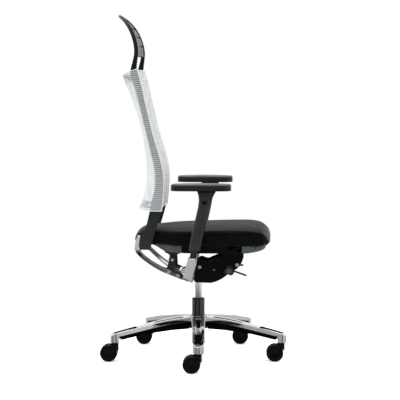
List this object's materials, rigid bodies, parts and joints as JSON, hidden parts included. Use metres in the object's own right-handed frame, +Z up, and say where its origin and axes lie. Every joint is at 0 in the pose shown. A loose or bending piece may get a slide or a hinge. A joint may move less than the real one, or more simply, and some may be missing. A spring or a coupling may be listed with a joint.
{
  "type": "swivel office chair",
  "caption": "Swivel office chair with a knitted back on two uprights, banded headrest, height-adjustable arms, synchronised seat and back tilt and a polished star base on twin-wheel castors.",
  "frame": {"origin": "on the floor, under the swivel axis", "axes": "+Z up; the chair faces -Y, so +X is the sitter's left"},
  "size_m": [0.6667, 0.7081, 1.3132],
  "materials": {
    "polished_aluminium": "polished die casting",
    "black_nylon": "fine moulded texture",
    "bright_steel": "bright zinc",
    "zinc_steel": "machined",
    "black_enamel": "satin powder coat",
    "black_casting": "matte powder coat on a casting",
    "chrome": "mirror",
    "grey_nylon": "satin moulded",
    "black_polypropylene": "satin moulded",
    "castor_tread": "soft tread on a moulded wheel",
    "white_knit": "open three-dimensional knit",
    "grey_band_fabric": "lined band fabric",
    "black_wool": "close upholstery weave over foam",
    "pad_foam": "soft moulded polyurethane"
  },
  "bodies": {
    "base": {"base_star": "polished_aluminium", "leg_liners": "black_nylon", "foot_pads": "black_nylon", "stem_sockets": "bright_steel", "stand_tube": "black_enamel", "guide_bush": "black_nylon", "thrust_bearing": "zinc_steel"},
    "spindle": {"piston_rod": "zinc_steel", "retaining_clip": "zinc_steel"},
    "chassis": {"gas_cylinder": "chrome", "mech_housing": "black_casting", "mech_covers": "black_nylon", "mech_axles": "bright_steel", "tilt_spring": "zinc_steel"},
    "release_pin": {"release_pin": "zinc_steel"},
    "height_lever": {"height_lever": "black_nylon"},
    "tension_knob": {"tension_knob": "grey_nylon"},
    "lock_lever": {"lock_lever": "black_nylon"},
    "back": {"back_carrier": "polished_aluminium", "carrier_bolts": "bright_steel", "hanger_brackets": "black_enamel", "upright_right": "black_enamel", "upright_left": "black_enamel", "back_top_bow": "black_enamel", "back_bottom_bow": "black_enamel", "back_panel_front": "white_knit", "back_panel_rear": "white_knit", "arm_bracket_right": "polished_aluminium", "arm_bracket_left": "polished_aluminium", "arm_post_right": "black_enamel", "arm_post_left": "black_enamel"},
    "headrest": {"headrest_frame": "black_nylon", "headrest_bands": "grey_band_fabric"},
    "seat_support": {"seat_support": "black_enamel"},
    "seat": {"seat_pan": "black_polypropylene", "pan_shells": "grey_nylon", "seat_cushion": "black_wool"},
    "seat_slide_button": {"seat_slide_button": "black_nylon"},
    "arm_right": {"arm_sleeve_right": "black_nylon"},
    "arm_button_right": {"arm_button_right": "black_nylon"},
    "arm_pad_right": {"arm_pad_right": "pad_foam"},
    "arm_left": {"arm_sleeve_left": "black_nylon"},
    "arm_button_left": {"arm_button_left": "black_nylon"},
    "arm_pad_left": {"arm_pad_left": "pad_foam"},
    "castor_1": {"castor_hood_1": "black_nylon", "castor_pins_1": "bright_steel"},
    "wheels_1": {"castor_wheels_1": "castor_tread"},
    "castor_2": {"castor_hood_2": "black_nylon", "castor_pins_2": "bright_steel"},
    "wheels_2": {"castor_wheels_2": "castor_tread"},
    "castor_3": {"castor_hood_3": "black_nylon", "castor_pins_3": "bright_steel"},
    "wheels_3": {"castor_wheels_3": "castor_tread"},
    "castor_4": {"castor_hood_4": "black_nylon", "castor_pins_4": "bright_steel"},
    "wheels_4": {"castor_wheels_4": "castor_tread"},
    "castor_5": {"castor_hood_5": "black_nylon", "castor_pins_5": "bright_steel"},
    "wheels_5": {"castor_wheels_5": "castor_tread"}
  },
  "joints": [
    {"name": "swivel", "type": "hinge", "parent": "base", "child": "spindle", "pos_m": [0, 0, 0.06], "axis": [0, 0, 1], "continuous": true},
    {"name": "lift", "type": "slide", "parent": "spindle", "child": "chassis", "axis": [0, 0, 1], "range_m": [-0.065, 0.035]},
    {"name": "castor_swivel_1", "type": "hinge", "parent": "base", "child": "castor_1", "pos_m": [-0.3318, -0.01159, 0.07], "axis": [0, 0, 1], "continuous": true},
    {"name": "castor_roll_1", "type": "hinge", "parent": "castor_1", "child": "wheels_1", "pos_m": [-0.3318, 0.01341, 0.0325], "axis": [1, 0, 0], "continuous": true},
    {"name": "castor_swivel_2", "type": "hinge", "parent": "base", "child": "castor_2", "pos_m": [-0.09151, -0.31914, 0.07], "axis": [0, 0, 1], "continuous": true},
    {"name": "castor_roll_2", "type": "hinge", "parent": "castor_2", "child": "wheels_2", "pos_m": [-0.09151, -0.29414, 0.0325], "axis": [1, 0, 0], "continuous": true},
    {"name": "castor_swivel_3", "type": "hinge", "parent": "base", "child": "castor_3", "pos_m": [0.27524, -0.18565, 0.07], "axis": [0, 0, 1], "continuous": true},
    {"name": "castor_roll_3", "type": "hinge", "parent": "castor_3", "child": "wheels_3", "pos_m": [0.27524, -0.16065, 0.0325], "axis": [1, 0, 0], "continuous": true},
    {"name": "castor_swivel_4", "type": "hinge", "parent": "base", "child": "castor_4", "pos_m": [0.26162, 0.2044, 0.07], "axis": [0, 0, 1], "continuous": true},
    {"name": "castor_roll_4", "type": "hinge", "parent": "castor_4", "child": "wheels_4", "pos_m": [0.26162, 0.2294, 0.0325], "axis": [1, 0, 0], "continuous": true},
    {"name": "castor_swivel_5", "type": "hinge", "parent": "base", "child": "castor_5", "pos_m": [-0.11355, 0.31198, 0.07], "axis": [0, 0, 1], "continuous": true},
    {"name": "castor_roll_5", "type": "hinge", "parent": "castor_5", "child": "wheels_5", "pos_m": [-0.11355, 0.33698, 0.0325], "axis": [1, 0, 0], "continuous": true},
    {"name": "back_tilt", "type": "hinge", "parent": "chassis", "child": "back", "pos_m": [0, -0.007, 0.355], "axis": [-1, 0, 0], "range_deg": [0, 22], "stiffness_Nm_per_rad": 110, "springref_deg": -22.92},
    {"name": "seat_tilt", "type": "hinge", "parent": "chassis", "child": "seat_support", "pos_m": [0, -0.15, 0.364], "axis": [-1, 0, 0], "range_deg": [0, 9.5]},
    {"name": "seat_depth", "type": "slide", "parent": "seat_support", "child": "seat", "axis": [0, -1, 0], "range_m": [0, 0.06]},
    {"name": "seat_slide_press", "type": "slide", "parent": "seat", "child": "seat_slide_button", "axis": [1, 0, 0], "range_m": [0, 0.004], "stiffness_N_per_m": 400, "springref_m": -0.004},
    {"name": "height_lever_lift", "type": "hinge", "parent": "chassis", "child": "height_lever", "pos_m": [0, -0.119, 0.344], "axis": [-1, 0, 0], "range_deg": [0, 12], "stiffness_Nm_per_rad": 0.6, "springref_deg": -14.32},
    {"name": "release_press", "type": "slide", "parent": "chassis", "child": "release_pin", "axis": [0, 0, -1], "range_m": [0, 0.0035]},
    {"name": "tension_turn", "type": "hinge", "parent": "chassis", "child": "tension_knob", "pos_m": [0, -0.119, 0.344], "axis": [-1, 0, 0], "range_deg": [-720, 720]},
    {"name": "lock_lever_turn", "type": "hinge", "parent": "chassis", "child": "lock_lever", "pos_m": [0, -0.119, 0.344], "axis": [-1, 0, 0], "range_deg": [0, 25]},
    {"name": "arm_height_right", "type": "slide", "parent": "back", "child": "arm_right", "axis": [0, -0.2011, 0.9796], "range_m": [0, 0.1]},
    {"name": "arm_press_right", "type": "slide", "parent": "arm_right", "child": "arm_button_right", "axis": [1, 0, 0], "range_m": [0, 0.0025], "stiffness_N_per_m": 300, "springref_m": -0.003},
    {"name": "pad_swivel_right", "type": "hinge", "parent": "arm_right", "child": "arm_pad_right", "pos_m": [-0.26, -0.038, 0.658], "axis": [0, 0, 1], "range_deg": [-15, 15]},
    {"name": "arm_height_left", "type": "slide", "parent": "back", "child": "arm_left", "axis": [0, -0.2011, 0.9796], "range_m": [0, 0.1]},
    {"name": "arm_press_left", "type": "slide", "parent": "arm_left", "child": "arm_button_left", "axis": [-1, 0, 0], "range_m": [0, 0.0025], "stiffness_N_per_m": 300, "springref_m": -0.003},
    {"name": "pad_swivel_left", "type": "hinge", "parent": "arm_left", "child": "arm_pad_left", "pos_m": [0.26, -0.038, 0.658], "axis": [0, 0, 1], "range_deg": [-15, 15]},
    {"name": "headrest_height", "type": "slide", "parent": "back", "child": "headrest", "axis": [0, 0.2449, 0.9696], "range_m": [0, 0.06]}
  ],
  "couplings": [
    {"joint": "seat_tilt", "follows": "back_tilt", "ratio": 0.428},
    {"joint": "release_press", "follows": "height_lever_lift", "m_per_rad": 0.0167}
  ]
}
